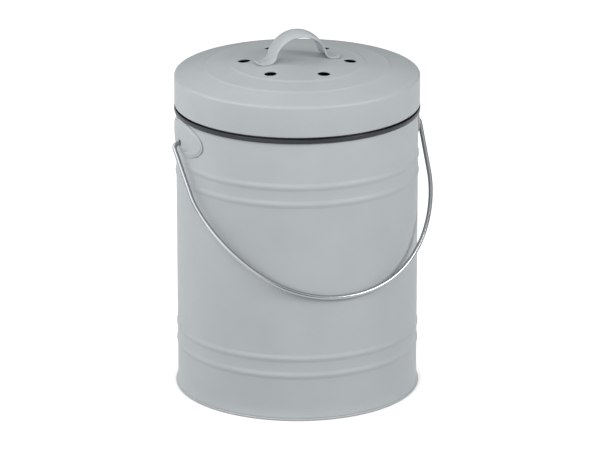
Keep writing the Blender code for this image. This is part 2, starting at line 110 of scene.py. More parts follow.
# Ears
EAR_STEPS = 120
EAR_DOME_RINGS = 26
EAR_PRESS_RINGS = 5
EAR_HALF_WIDTH = 31.3 * MM
EAR_HALF_HEIGHT = 12.8 * MM
EAR_RISE = 4.3 * MM
EAR_FLANGE = 2.2 * MM
EAR_PRESS_STEP = 0.4 * MM
EAR_PRESS_WIDTH = 0.6 * MM
EAR_DOME_LIFT = 1.5 * MM
EAR_DOME_SHARE = 0.6
EAR_FACE_RADIUS = 4.5 * MM
EAR_HOLE_RADIUS = 2.4 * MM
# Rings of points on the flat face, from 0 at the hole to 1 at the face's edge
EAR_FACE_SHARES = (0.0, 0.5)
EAR_EDGE = 0.12 * MM
EAR_WELD_REACH = 24.0 * MM
EAR_WELD_RADIUS = 2.2 * MM
EAR_WELD_DEPTH = 0.25 * MM

# Bail
WIRE_SIDES = 28
WIRE_MAP = "wire"
WIRE_RADIUS = 1.65 * MM
BAIL_REACH = 137.6 * MM
BAIL_TOP_OFFSET = 7.6 * MM
BAIL_TURN_RADIUS = 4.2 * MM
BAIL_SHOULDER_DROP = 45.0 * MM
BAIL_LID_CLEARANCE = 0.85 * MM
BAIL_BOW_ASIDE = 1.7 * MM
# The wire is bent by hand, so its halves differ: pulls of the bow's curve at the shoulder and middle
BAIL_PULLS = {-1: (19.1 * MM, 65.6 * MM), 1: (32.8 * MM, 63.5 * MM)}
WIRE_END_GAP = 0.6 * MM
WIRE_END_ROUND = 0.4 * MM
BOW_POINTS = 90
TURN_POINTS = 14

# Inner bucket
PLASTIC = 1.6 * MM
PLASTIC_EDGE = 0.45 * MM
RIM_THICKNESS = 1.8 * MM
LIP_THICKNESS = 1.0 * MM
LIP_DROP = 1.2 * MM
BUCKET_CLEARANCE = 0.4 * MM
BUCKET_TAPER = 4.6 * MM
BUCKET_FLOOR_GAP = 3.0 * MM
BUCKET_FILLET = 6.0 * MM
COLLAR_CLEARANCE = 0.5 * MM

# Lid
LID_OVERHANG = 1.1 * MM
LID_RIM_GAP = 1.3 * MM
LID_SKIRT = 23.7 * MM
LID_CORNER = 2.2 * MM
LID_HEM_GAP = 0.4 * MM
LID_HEM_DEPTH = 4.0 * MM
STEP_HALF_WIDTH = 1.0 * MM
STEP_BLEND = 1.2 * MM
OUTER_STEP_RADIUS = 68.8 * MM
OUTER_STEP_FOOT = 4.4 * MM
OUTER_STEP_RISE = 0.7 * MM
INNER_STEP_RADIUS = 49.9 * MM
INNER_STEP_FOOT = 7.0 * MM
INNER_STEP_RISE = 0.7 * MM
CROWN_RISE = 10.4 * MM
# The dome's middle is nearly flat: this is how far it falls from its centre to the crown's radius
CROWN_FALL = 0.3 * MM
CROWN_ROWS = 145
RING_LIFT = 0.3 * MM
RING_HALF_WIDTH = 2.2 * MM
VENT_COUNT = 6
VENT_RADIUS = 4.75 * MM
VENT_CIRCLE = 39.4 * MM
CROWN_RADIUS = VENT_CIRCLE / 2
VENT_TURN = math.radians(-20.5)
VENT_SIDES = 48
VENT_LIP_WIDTH = 1.8 * MM
VENT_LIP_DROP = 0.15 * MM

# Lid handle
STRAP_SHEET = 1.0 * MM
STRAP_EDGE = 0.25 * MM
STRAP_WIDTH = 17.5 * MM
STRAP_HALF_SPAN = 32.8 * MM
STRAP_ARCH_HALF = 20.6 * MM
STRAP_ARCH_HEIGHT = 21.5 * MM
STRAP_FOOT_BEND = 6.5 * MM
STRAP_CROWN = 2.0 * MM
STRAP_ARCH_TURN = math.radians(71)
STRAP_TIP_RADIUS = 6.0 * MM
STRAP_ARCH_POINTS = 48
STRAP_BEND_POINTS = 14
STRAP_TIP_POINTS = 20
STRAP_ACROSS = 32
STRAP_WELD_REACH = 28.5 * MM
STRAP_WELD_RADIUS = 1.9 * MM
STRAP_WELD_DEPTH = 0.3 * MM
STRAP_DART_ASIDE = 4.2 * MM
STRAP_DART_REACH = 23.5 * MM
STRAP_DART_WIDTH = 1.3 * MM
STRAP_DART_LENGTH = 3.6 * MM
STRAP_DART_LIFT = 0.5 * MM
STRAP_EDGE_ROLL = 1.3 * MM
STRAP_EDGE_START = 0.74
STRAP_TIP_CURL = 0.7 * MM
STRAP_TIP_CURL_LENGTH = 4.0 * MM

# Filter
HOLDER_RADIUS = 57.3 * MM
HOLDER_WALL = 1.6 * MM
HOLDER_FLANGE = 5.0 * MM
HOLDER_DEPTH = 13.0 * MM
FIT_CLEARANCE = 0.3 * MM
COVER_THICKNESS = 1.6 * MM
COVER_WALL = 1.4 * MM
COVER_WALL_HEIGHT = 6.0 * MM
COVER_FLANGE = 1.2 * MM
PAD_THICKNESS = 9.0 * MM
PAD_EDGE = 1.5 * MM
PAD_CLEARANCE = 0.5 * MM
SLOT_RINGS = 3
SLOTS_ROUND = 6
SLOT_FIRST_RADIUS = 12.0 * MM
SLOT_WIDTH = 8.0 * MM
SLOT_BRIDGE = 5.0 * MM
SLOT_STEPS = 10
SLOT_CORNER = 1.2 * MM
TAB_WIDTH = 16.0 * MM
TAB_REACH = 6.0 * MM
TAB_CORNER = 2.0 * MM
TAB_INSET = 0.2 * MM

# Noise rarely leaves this middle part of its range, which is stretched over a finish's own span
NOISE_SPAN = (0.3, 0.7)
# A Mix node's sockets for colours, which come after those for numbers and vectors
MIX_FIRST, MIX_SECOND, MIX_RESULT = 6, 7, 2

# Powder coat
COAT_COLOURS = ("#b2b8ba", "#b6bcbe")
COAT_ROUGHNESS = (0.42, 0.50)
COAT_GLOSS = 0.35
COAT_TINT_PATCH = 30.0 * MM
COAT_GLOSS_PATCH = 6.0 * MM
COAT_PEEL = 2.5 * MM
COAT_PEEL_DEPTH = 0.03 * MM
COAT_PEEL_STRENGTH = 0.25

# Zinc plate
ZINC_COLOUR = "#9a9da0"
ZINC_ROUGHNESS = (0.12, 0.20)
DRAWN_LINE = 0.35 * MM
DRAWN_LINE_DEPTH = 0.01 * MM
DRAWN_LINE_STRENGTH = 0.15
DRAWN_LINE_STRETCH = 50

# Black plastic
PLASTIC_COLOUR = "#14171d"
PLASTIC_ROUGHNESS = (0.34, 0.42)
PLASTIC_PATCH = 5.0 * MM
PLASTIC_GRAIN = 0.6 * MM
PLASTIC_GRAIN_DEPTH = 0.02 * MM
PLASTIC_GRAIN_STRENGTH = 0.2

# Carbon felt
FELT_COLOURS = ("#121313", "#222323")
FELT_ROUGHNESS = 0.95
FELT_SHEEN = 0.25
FELT_SHEEN_ROUGHNESS = 0.5
FELT_CLUMP = 2.5 * MM
FELT_FIBRE = 0.5 * MM
FELT_FIBRE_DEPTH = 0.3 * MM
FELT_FIBRE_STRENGTH = 0.8
FELT_FIBRE_CURL = 2.0

# Studio
FLOOR_SIZE = 30.0
FLOOR_COLOUR = "#a8a8a8"
FLOOR_GLOW = 0.95
# Reach of the painted contact shade, which dims the floor's glow near the pail
CONTACT_SHADE_REACH = 9 * MM
WORLD_LIGHT = 0.15
# Dark panels as (angle from the camera's side, width, height)
PANELS = (
    (0, 2.6, 1.5),
    (75, 1.8, 2.0),
    (-75, 1.8, 2.0),
    (130, 1.8, 2.0),
    (-130, 1.8, 2.0),
    (180, 2.2, 1.1),
)
PANEL_COLOUR = "#050505"
PANEL_DISTANCE = 2.4
# A panel starts as a square of 1 m, and this is half of its side
UNIT_HALF = 0.5
# Softboxes as (angle from the camera's side, height, distance, size, watts)
SOFTBOXES = (
    (-85, 0.7, 0.8, 1.0, 6.0),
    (60, 0.9, 1.4, 0.7, 15.6),
    (-25, 0.6, 0.9, 1.1, 5.9),
)

# Places worked out from the sizes above and from the frame
WALL_MID = WALL_RADIUS - SHEET / 2
RIM_TOP = WALL_TOP + GAP + RIM_THICKNESS
RIM_RADIUS = WALL_RADIUS + GAP + LIP_THICKNESS
LID_RADIUS = WALL_RADIUS + LID_OVERHANG
LID_BOTTOM = RIM_TOP + LID_RIM_GAP
LID_SHOULDER = LID_BOTTOM + LID_SKIRT
COLLAR_RADIUS = LID_RADIUS - 2 * SHEET - LID_HEM_GAP - COLLAR_CLEARANCE
HINGE_Z = next(joint for joint in frame["joints"] if joint["name"] == "bail_swing")["pos_m"][2]
# The wire hangs in the ears' holes, so their middles lie above the hinge's axis
HOLE_RISE = EAR_HOLE_RADIUS - WIRE_RADIUS - GAP


def linear(hex_colour):
    """An sRGB hex colour as linear RGBA."""
    values = [int(hex_colour[i : i + 2], 16) / 255 for i in (1, 3, 5)]
    return [v / 12.92 if v <= 0.04045 else ((v + 0.055) / 1.055) ** 2.4 for v in values] + [1.0]


def add_node(tree, kind, inputs=None, **settings):
    """Adds a node with its settings, and sets its inputs to values or links them to sockets."""
    node = tree.nodes.new(kind)
    for name, value in settings.items():
        setattr(node, name, value)
    for key, value in (inputs or {}).items():
        if isinstance(value, bpy.types.NodeSocket):
            tree.links.new(value, node.inputs[key])
        else:
            node.inputs[key].default_value = value
    return node


def new_finish(name, **values):
    """A material with its Principled shader's own sockets set, and its tree and shader."""
    material = bpy.data.materials.new(name)
    material.use_nodes = True
    shader = material.node_tree.nodes["Principled BSDF"]
    for key, value in values.items():
        shader.inputs[key.replace("_", " ")].default_value = value
    return material, material.node_tree, shader


def link_finish(material, shader, **sockets):
    """Links sockets to the shader's inputs of the same names, and gives back the material."""
    for key, socket in sockets.items():
        material.node_tree.links.new(socket, shader.inputs[key.replace("_", " ")])
    return material


def varied(tree, vector, size, span=(0.0, 1.0), detail=2.0):
    """A value that wanders over a span, with spots of about a real size."""
    pattern = {"Vector": vector, "Scale": 1 / size, "Detail": detail}
    value = add_node(tree, "ShaderNodeTexNoise", pattern).outputs["Fac"]
    stretch = {"Value": value, "From Min": NOISE_SPAN[0], "From Max": NOISE_SPAN[1]}
    stretch |= {"To Min": span[0], "To Max": span[1]}
    return add_node(tree, "ShaderNodeMapRange", stretch).outputs["Result"]


def powder_coat():
    """Polyester powder coat on sheet steel, sprayed dry and baked: an even mid grey, semi-matte.

    It has a faint orange peel, whose real 1 mm grain is drawn at 2.5 mm so that it shows.
    """
    material, tree, shader = new_finish("grey_powder_coat", IOR=1.5, Specular_IOR_Level=COAT_GLOSS)
    place = add_node(tree, "ShaderNodeTexCoord").outputs["Object"]
    tints = {MIX_FIRST: linear(COAT_COLOURS[0]), MIX_SECOND: linear(COAT_COLOURS[1])}
    tints["Factor"] = varied(tree, place, COAT_TINT_PATCH)
    colour = add_node(tree, "ShaderNodeMix", tints, data_type="RGBA").outputs[MIX_RESULT]
    roughness = varied(tree, place, COAT_GLOSS_PATCH, COAT_ROUGHNESS)
    pattern = {"Vector": place, "Scale": 1 / COAT_PEEL, "Detail": 1.0}
    peel = add_node(tree, "ShaderNodeTexNoise", pattern).outputs["Fac"]
    bump = {"Height": peel, "Strength": COAT_PEEL_STRENGTH, "Distance": COAT_PEEL_DEPTH}
    normal = add_node(tree, "ShaderNodeBump", bump).outputs["Normal"]
    return link_finish(material, shader, Base_Color=colour, Roughness=roughness, Normal=normal)


def plated_wire():
    """Bright zinc on drawn steel wire: a cool, mirror-like metal.

    The drawing die leaves fine lines along the wire, which are drawn 0.35 mm wide so that they show.
    """
    colour = linear(ZINC_COLOUR)
    material, tree, shader = new_finish("zinc_plated_wire", Metallic=1.0, Base_Color=colour)
    along = add_node(tree, "ShaderNodeUVMap", uv_map=WIRE_MAP).outputs["UV"]
    stretch = {"Vector": along, "Scale": (1 / DRAWN_LINE_STRETCH, 1.0, 1.0)}
    drawn = add_node(tree, "ShaderNodeMapping", stretch).outputs["Vector"]
    lines = varied(tree, drawn, DRAWN_LINE)
    span = {"Value": lines, "To Min": ZINC_ROUGHNESS[0], "To Max": ZINC_ROUGHNESS[1]}
    roughness = add_node(tree, "ShaderNodeMapRange", span).outputs["Result"]
    bump = {"Height": lines, "Strength": DRAWN_LINE_STRENGTH, "Distance": DRAWN_LINE_DEPTH}
    normal = add_node(tree, "ShaderNodeBump", bump).outputs["Normal"]
    return link_finish(material, shader, Roughness=roughness, Normal=normal)


def black_plastic():
    """Injection-moulded polypropylene, dyed black: satin, with the fine grain of a spark-eroded mould.

    The real 0.2 mm grain is drawn at 0.6 mm so that it shows.
    """
    colour = linear(PLASTIC_COLOUR)
    material, tree, shader = new_finish("black_polypropylene", IOR=1.49, Base_Color=colour)
    place = add_node(tree, "ShaderNodeTexCoord").outputs["Object"]
    roughness = varied(tree, place, PLASTIC_PATCH, PLASTIC_ROUGHNESS)
    pattern = {"Vector": place, "Scale": 1 / PLASTIC_GRAIN, "Detail": 2.0}
    grain = add_node(tree, "ShaderNodeTexNoise", pattern).outputs["Fac"]
    bump = {"Height": grain, "Strength": PLASTIC_GRAIN_STRENGTH, "Distance": PLASTIC_GRAIN_DEPTH}
    normal = add_node(tree, "ShaderNodeBump", bump).outputs["Normal"]
    return link_finish(material, shader, Roughness=roughness, Normal=normal)


def carbon_felt():
    """Needled polyester felt loaded with carbon powder: near black, matt, with a fuzzy sheen at its edges.

    Its fibres are far finer than the 0.5 mm at which they are drawn.
    """
    sheen = {"Sheen_Weight": FELT_SHEEN, "Sheen_Roughness": FELT_SHEEN_ROUGHNESS}
    material, tree, shader = new_finish("carbon_felt", Roughness=FELT_ROUGHNESS, **sheen)
    place = add_node(tree, "ShaderNodeTexCoord").outputs["Object"]
    tints = {MIX_FIRST: linear(FELT_COLOURS[0]), MIX_SECOND: linear(FELT_COLOURS[1])}
    tints["Factor"] = varied(tree, place, FELT_CLUMP, detail=4.0)
    colour = add_node(tree, "ShaderNodeMix", tints, data_type="RGBA").outputs[MIX_RESULT]
    pattern = {"Vector": place, "Scale": 1 / FELT_FIBRE, "Detail": 4.0, "Distortion": FELT_FIBRE_CURL}
    fibres = add_node(tree, "ShaderNodeTexNoise", pattern).outputs["Fac"]
    bump = {"Height": fibres, "Strength": FELT_FIBRE_STRENGTH, "Distance": FELT_FIBRE_DEPTH}
    normal = add_node(tree, "ShaderNodeBump", bump).outputs["Normal"]
    return link_finish(material, shader, Base_Color=colour, Normal=normal)


def new_tree(name, sockets):
    """A Geometry Nodes tree with named inputs and one output, and its input node's sockets."""
    tree = bpy.data.node_groups.new(name, "GeometryNodeTree")
    tree.is_modifier = True
    for label, kind in sockets:
        tree.interface.new_socket(label, in_out="INPUT", socket_type=f"NodeSocket{kind}")
    tree.interface.new_socket("Made", in_out="OUTPUT", socket_type="NodeSocketGeometry")
    return tree, add_node(tree, "NodeGroupInput").outputs


def end_tree(tree, geometry, material):
    """Ends a tree in plain geometry with its material."""
    plain = add_node(tree, "GeometryNodeRealizeInstances", {"Geometry": geometry}).outputs[0]
    finish = {"Geometry": plain, "Material": material}
    painted = add_node(tree, "GeometryNodeSetMaterial", finish).outputs[0]
    add_node(tree, "NodeGroupOutput", {"Made": painted})
    return tree


def make_turn_tree():
    """Turns the points of an outline in the XZ plane about Z. The outline runs down its outer side."""
    sockets = (("Outline", "Geometry"), ("Steps", "Int"), ("Material", "Material"))
    tree, given = new_tree("turn", sockets)
    outline, steps = given["Outline"], given["Steps"]
    size = add_node(tree, "GeometryNodeAttributeDomainSize", {"Geometry": outline})
    rows = size.outputs["Point Count"]
    columns = add_node(tree, "FunctionNodeIntegerMath", {0: steps, 1: 1}, operation="ADD").outputs[0]
    counts = {"Vertices X": columns, "Vertices Y": rows}
    grid = add_node(tree, "GeometryNodeMeshGrid", counts).outputs["Mesh"]
    index = add_node(tree, "GeometryNodeInputIndex").outputs[0]
    parts = {0: index, 1: rows}
    row = add_node(tree, "FunctionNodeIntegerMath", parts, operation="MODULO").outputs[0]
    column = add_node(tree, "FunctionNodeIntegerMath", parts, operation="DIVIDE_FLOOR").outputs[0]
    share = add_node(tree, "ShaderNodeMath", {0: column, 1: steps}, operation="DIVIDE").outputs[0]
    angle = add_node(tree, "ShaderNodeMath", {0: share, 1: -TAU}, operation="MULTIPLY").outputs[0]
    point = add_node(tree, "GeometryNodeInputPosition").outputs[0]
    read = {"Geometry": outline, "Value": point, "Index": row}
    sample = add_node(tree, "GeometryNodeSampleIndex", read, data_type="FLOAT_VECTOR")
    turn = {"Vector": sample.outputs["Value"], "Angle": angle}
    place = add_node(tree, "ShaderNodeVectorRotate", turn, rotation_type="Z_AXIS").outputs["Vector"]
    moved = add_node(tree, "GeometryNodeSetPosition", {"Geometry": grid, "Position": place}).outputs[0]
    meeting = {"Geometry": moved, "Distance": MERGE_DISTANCE}
    closed = add_node(tree, "GeometryNodeMergeByDistance", meeting).outputs[0]
    smooth = add_node(tree, "GeometryNodeSetShadeSmooth", {"Geometry": closed}).outputs[0]
    return end_tree(tree, smooth, given["Material"])


def make_ring_cut_tree():
    """Cuts a ring of equal holes: copies of a cutter, evenly round Z from a first angle."""
    sockets = [("Body", "Geometry"), ("Cutter", "Object"), ("Count", "Int")]
    sockets += [("First Angle", "Float"), ("Material", "Material")]
    tree, given = new_tree("ring_cut", sockets)
    count = given["Count"]
    row = {"Count": count, "Offset": (0, 0, 0)}
    points = add_node(tree, "GeometryNodeMeshLine", row).outputs["Mesh"]
    cutter = add_node(tree, "GeometryNodeObjectInfo", {"Object": given["Cutter"]}).outputs["Geometry"]
    index = add_node(tree, "GeometryNodeInputIndex").outputs[0]
    share = add_node(tree, "ShaderNodeMath", {0: index, 1: count}, operation="DIVIDE").outputs[0]
    turns = {0: share, 1: TAU, 2: given["First Angle"]}
    angle = add_node(tree, "ShaderNodeMath", turns, operation="MULTIPLY_ADD").outputs[0]
    euler = add_node(tree, "ShaderNodeCombineXYZ", {"Z": angle}).outputs[0]
    turn = add_node(tree, "FunctionNodeEulerToRotation", {"Euler": euler}).outputs[0]
    placed = {"Points": points, "Instance": cutter, "Rotation": turn}
    copies = add_node(tree, "GeometryNodeInstanceOnPoints", placed).outputs[0]
    plain = add_node(tree, "GeometryNodeRealizeInstances", {"Geometry": copies}).outputs[0]
    holes = {"Mesh 1": given["Body"], "Mesh 2": plain}
    cut = add_node(tree, "GeometryNodeMeshBoolean", holes, operation="DIFFERENCE", solver="EXACT")
    return end_tree(tree, cut.outputs["Mesh"], given["Material"])


def add_modifier_tree(obj, tree, **values):
    """Adds a tree to an object, with each input set by its socket's identifier."""
    modifier = obj.modifiers.new(tree.name, "NODES")
    modifier.node_group = tree
    inputs = [item for item in tree.interface.items_tree if item.in_out == "INPUT"]
    sockets = {item.name: item.identifier for item in inputs}
    for name, value in values.items():
        modifier[sockets[name.replace("_", " ")]] = value


def add_object(name, mesh):
    """A new object in the scene that shows a mesh."""
    obj = bpy.data.objects.new(name, mesh)
    bpy.context.collection.objects.link(obj)
    return obj


def make_plain(obj):
    """The object as a plain mesh of what its modifiers make, with edges sharp past an angle."""
    depsgraph = bpy.context.evaluated_depsgraph_get()
    mesh = bpy.data.meshes.new_from_object(obj.evaluated_get(depsgraph), depsgraph=depsgraph)
    name = obj.name
    bpy.data.objects.remove(obj)
    mesh.shade_smooth()
    mesh.set_sharp_from_angle(angle=SHARP_ANGLE)
    plain = add_object(name, mesh)
    plain.name = name
    return plain


def finish_piece(obj, body, slot, *nodes):
    """Puts a piece under the empty of the body that it moves with, and hides the nodes that it stands for.
    Its slot is not used.
    """
    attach(obj, body)
    if nodes:
        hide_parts(*nodes)
    return obj


def mesh_from(bm, name, material):
    """A smooth-shaded mesh of a material from a bmesh, which is then freed."""
    mesh = bpy.data.meshes.new(name)
    bm.to_mesh(mesh)
    bm.free()
    mesh.materials.append(material)
    mesh.shade_smooth()
    return mesh


def arc(centre_x, centre_z, radius, start, end, count):
    """Points on an arc, with both ends, for angles in degrees from +X towards +Z."""
    points = []
    for i in range(count):
        angle = math.radians(start + (end - start) * i / (count - 1))
        points.append((centre_x + radius * math.cos(angle), centre_z + radius * math.sin(angle)))
    return points


def circle(count):
    """Cosines and sines of even steps round a circle."""
    return [(math.cos(TAU * i / count), math.sin(TAU * i / count)) for i in range(count)]


def ease(share):
    """A smooth rise from 0 to 1 with level ends."""
    share = min(1.0, max(0.0, share))
    return share * share * (3 - 2 * share)


def bump_share(distance, radius):
    """A smooth round bump: 1 at its middle and 0 from its radius on."""
    return 1 - ease(distance / radius)


def cosine_share(offset, half_width):
    """A rolled bead's share of its lift at an offset from its middle."""
    share = abs(offset) / half_width
    return 0.5 + 0.5 * math.cos(math.pi * share) if share < 1 else 0.0


def rounded(corners, reach):
    """An outline with its corners rounded, apart from those on the axis."""
    points = []
    for i, corner in enumerate(corners):
        here = Vector(corner)
        if here.x == 0:
            points.append(here)
            continue
        before = Vector(corners[i - 1]) - here
        after = Vector(corners[(i + 1) % len(corners)]) - here
        start = here + before.normalized() * min(reach, before.length / 2)
        end = here + after.normalized() * min(reach, after.length / 2)
        for k in range(EDGE_POINTS):
            t = k / (EDGE_POINTS - 1)
            points.append(start * (1 - t) ** 2 + here * 2 * t * (1 - t) + end * t**2)
    return points


def round_end(start, end):
    """Points between the two faces of a cut edge, on a half circle."""
    middle = (start + end) / 2
    out = (start - end) / 2
    ahead = Vector((out.y, -out.x))
    angles = [math.pi * i / EDGE_POINTS for i in range(1, EDGE_POINTS)]
    return [middle + out * math.cos(angle) + ahead * math.sin(angle) for angle in angles]


def sheet_outline(line, thickness):
    """An outline round a line with its outer side on its left. The sheet's cut ends are rounded."""
    half = thickness / 2
    points = [Vector(p) for p in line]
    left, right = [], []
    for i, point in enumerate(points):
        before = (point - points[max(0, i - 1)]).normalized()
        after = (points[min(i + 1, len(points) - 1)] - point).normalized()
        along = (before + after).normalized()
        across = Vector((-along.y, along.x))
        reach = half / max(MITRE_SHARE, along.dot(after if after.length else before))
        left.append(point + across * reach)
        right.append(point - across * reach)
    outline = list(left)
    if points[-1].x:
        outline += round_end(left[-1], right[-1])
    outline += reversed(right)
    if points[0].x:
        outline += round_end(right[0], left[0])
    return outline


def turned(name, outline, material, steps=TURN_STEPS):
    """A closed outline, or one that starts and ends on the axis, turned about Z."""
    points = [(p[0], 0, p[1]) for p in outline]
    if points[0][0] or points[-1][0]:
        points.append(points[0])
    mesh = bpy.data.meshes.new(name)
    mesh.from_pydata(points, [], [])
    obj = add_object(name, mesh)
    add_modifier_tree(obj, TURN, Steps=steps, Material=material)
    return make_plain(obj)


def bridge_rows(bm, rows, closed):
    """Quads between rows of vertices, each row open or closed on itself."""
    count = len(rows[0])
    for near, far in zip(rows, rows[1:]):
        for i in range(count if closed else count - 1):
            j = (i + 1) % count
            bm.faces.new((near[i], near[j], far[j], far[i]))


def round_edges(obj, width):
    """Rounds an object's sharp edges."""
    bevel = obj.modifiers.new("Edge", "BEVEL")
    bevel.width = width
    bevel.segments = BEVEL_SEGMENTS
    bevel.limit_method = "ANGLE"
    bevel.angle_limit = BEVEL_ANGLE


def add_sheet(obj, thickness, edge):
    """Gives an open surface its thickness, half on each side, and rounds its cut edges."""
    solidify = obj.modifiers.new("Sheet", "SOLIDIFY")
    solidify.thickness = thickness
    solidify.offset = 0
    solidify.use_even_offset = True
    round_edges(obj, edge)


def make_prism(name, corners, low, high, material):
    """An upright prism between two heights over a flat outline of (x, y) points."""
    bm = bmesh.new()
    rows = [[bm.verts.new((x, y, z)) for x, y in corners] for z in (low, high)]
    bridge_rows(bm, rows, closed=True)
    for row in rows:
        bm.faces.new(row)
    bmesh.ops.recalc_face_normals(bm, faces=bm.faces)
    return add_object(name, mesh_from(bm, name, material))


def cut_ring(body, cutter, count, first_angle, material):
    """The body with a ring of equal holes round Z. The cutter is used up."""
    ring = {"Cutter": cutter, "Count": count, "First_Angle": first_angle}
    add_modifier_tree(body, RING_CUT, Material=material, **ring)
    body = make_plain(body)
    bpy.data.objects.remove(cutter)
    return body


def bead_centres():
    """Heights of the four beads' middles: a pair near the foot and a pair near the top, as a mirror."""
    lower = [BEAD_FROM_END, BEAD_FROM_END + BEAD_SPACING]
    return lower + [WALL_TOP - z for z in reversed(lower)]


def wall_radius(z):
    """The wall's middle radius at a height: plain, rolled out at its beads and flared at its foot."""
    beads = sum(cosine_share(z - centre, BEAD_WIDTH / 2) for centre in bead_centres())
    flare = min(1.0, max(0.0, 1 - (z - WALL_FOOT) / FLARE_HEIGHT))
    return WALL_MID + BEAD_LIFT * beads + WALL_FLARE * flare**2


def wall_levels():
    """Heights from just under the hem down to the foot, close together at the beads and the flare."""
    levels = []
    for centre in reversed(bead_centres()):
        levels += [centre + BEAD_WIDTH * (0.5 - i / BEAD_POINTS) for i in range(BEAD_POINTS + 1)]
    return levels + [WALL_FOOT + FLARE_HEIGHT * (1 - i / FLARE_POINTS) for i in range(FLARE_POINTS + 1)]


def make_wall(material):
    """The steel body, from the end of its inward hem, over the top and down its beads to the foot."""
    hem_width = SHEET + HEM_GAP
    fold = hem_width / 2
    fold_z = WALL_TOP - SHEET / 2 - fold
    line = [(WALL_MID - hem_width, fold_z - HEM_DEPTH)]
    line += arc(WALL_MID - fold, fold_z, fold, 180, 0, HEM_POINTS)
    line += [(wall_radius(z), z) for z in wall_levels()]
    wall = turned("beaded_wall", sheet_outline(line, SHEET), material)
    return finish_piece(wall, "pail", "powder_coat", "pail_wall")


def make_seam(material):
    """The body sheet's lock seam: a low crowned strip up the back of the wall."""
    levels = [WALL_TOP - LIP_DROP - SEAM_END_GAP] + wall_levels()[:-1]
    levels = [z for z in levels if z > WALL_FOOT + SEAM_END_GAP] + [WALL_FOOT + SEAM_END_GAP]
    bm = bmesh.new()
    rows = []
    for z in levels:
        surface = wall_radius(z) + SHEET / 2
        row = []
        for i in range(SEAM_POINTS):
            share = 2 * i / (SEAM_POINTS - 1) - 1
            row.append((share, surface + SEAM_LIFT * (1 - share**4)))
        row += [(1.0, surface - SEAM_BURIED), (-1.0, surface - SEAM_BURIED)]
        places = []
        for share, radius in row:
            angle = math.pi / 2 - share * SEAM_WIDTH / 2 / WALL_RADIUS
            places.append(bm.verts.new((radius * math.cos(angle), radius * math.sin(angle), z)))
        rows.append(places)
    bridge_rows(bm, rows, closed=True)
    for row in (rows[0], rows[-1]):
        bm.faces.new(row)
    bmesh.ops.recalc_face_normals(bm, faces=bm.faces)
    seam = add_object("side_seam", mesh_from(bm, "side_seam", material))
    seam.data.set_sharp_from_angle(angle=SHARP_ANGLE)
    return finish_piece(seam, "pail", "powder_coat")


def make_base(material):
    """The recessed base, from the edge that is rolled round the wall's foot to its pressed middle."""
    roll = WALL_MID + WALL_FLARE
    inner = roll - 2 * SHEET - GAP
    floor = SHEET / 2
    line = arc(roll, floor + FOOT_ROLL, FOOT_ROLL, 180, -90, HEM_POINTS)
    line += arc(inner + FOOT_ROLL, floor + FOOT_ROLL, FOOT_ROLL, 270, 180, EDGE_POINTS)
    line += arc(inner - BASE_FILLET, BASE_RECESS - BASE_FILLET, BASE_FILLET, 0, 90, CORNER_POINTS)
    for i in range(CORNER_POINTS + 1):
        share = i / CORNER_POINTS
        radius = BASE_RING_RADIUS + BASE_RING_WIDTH * (0.5 - share)
        line.append((radius, BASE_RECESS + BASE_RING_STEP * ease(share)))
    line.append((0, BASE_RECESS + BASE_RING_STEP))
    base = turned("rolled_base", sheet_outline(line, SHEET), material)
    return finish_piece(base, "pail", "powder_coat", "base_pan")


def ear_rings():
    """The ear's rings from the bail's hole to the edge, as lists of (arc along the wall, height, lift)."""
    hole_z = HINGE_Z + HOLE_RISE
    plate_z = HINGE_Z + EAR_RISE
    press_width, press_height = EAR_HALF_WIDTH - EAR_FLANGE, EAR_HALF_HEIGHT - EAR_FLANGE
    rings = []
    for share in EAR_FACE_SHARES:
        radius = EAR_HOLE_RADIUS + (EAR_FACE_RADIUS - EAR_HOLE_RADIUS) * share
        rings.append([(radius * c, hole_z + radius * s, EAR_DOME_LIFT) for c, s in circle(EAR_STEPS)])
    for k in range(EAR_DOME_RINGS + 1):
        share = k / EAR_DOME_RINGS
        lift = EAR_PRESS_STEP + (EAR_DOME_LIFT - EAR_PRESS_STEP) * cosine_share(share, EAR_DOME_SHARE)
        ring = []
        for c, s in circle(EAR_STEPS):
            face = Vector((EAR_FACE_RADIUS * c, hole_z + EAR_FACE_RADIUS * s))
            place = face.lerp(Vector((press_width * c, plate_z + press_height * s)), share)
            ring.append((place.x, place.y, lift))
        rings.append(ring)
    for k in range(1, EAR_PRESS_RINGS + 1):
        share = k / EAR_PRESS_RINGS
        wide, high = press_width + EAR_PRESS_WIDTH * share, press_height + EAR_PRESS_WIDTH * share
        lift = EAR_PRESS_STEP * (1 - ease(share))
        rings.append([(wide * c, plate_z + high * s, lift) for c, s in circle(EAR_STEPS)])
    rings.append([(EAR_HALF_WIDTH * c, plate_z + EAR_HALF_HEIGHT * s, 0) for c, s in circle(EAR_STEPS)])
    return rings


def make_ear(name, node, side, material):
    """A pressed plate on the wall's curve with two spot-weld dimples, on the side 1 for +X or -1 for -X."""
    plate_radius = WALL_RADIUS + GAP + SHEET / 2
    plate_z = HINGE_Z + EAR_RISE
    bm = bmesh.new()
    rows = []
    for ring in ear_rings():
        row = []
        for along, z, lift in ring:
            weld = bump_share(math.hypot(abs(along) - EAR_WELD_REACH, z - plate_z), EAR_WELD_RADIUS)
            reach = side * (plate_radius + lift - EAR_WELD_DEPTH * weld)
            angle = side * along / WALL_RADIUS
            row.append(bm.verts.new((reach * math.cos(angle), reach * math.sin(angle), z)))
        rows.append(row[::-1])
    bridge_rows(bm, rows, closed=True)
    ear = add_object(name, mesh_from(bm, name, material))
    add_sheet(ear, SHEET, EAR_EDGE)
    return finish_piece(make_plain(ear), "pail", "powder_coat", node)


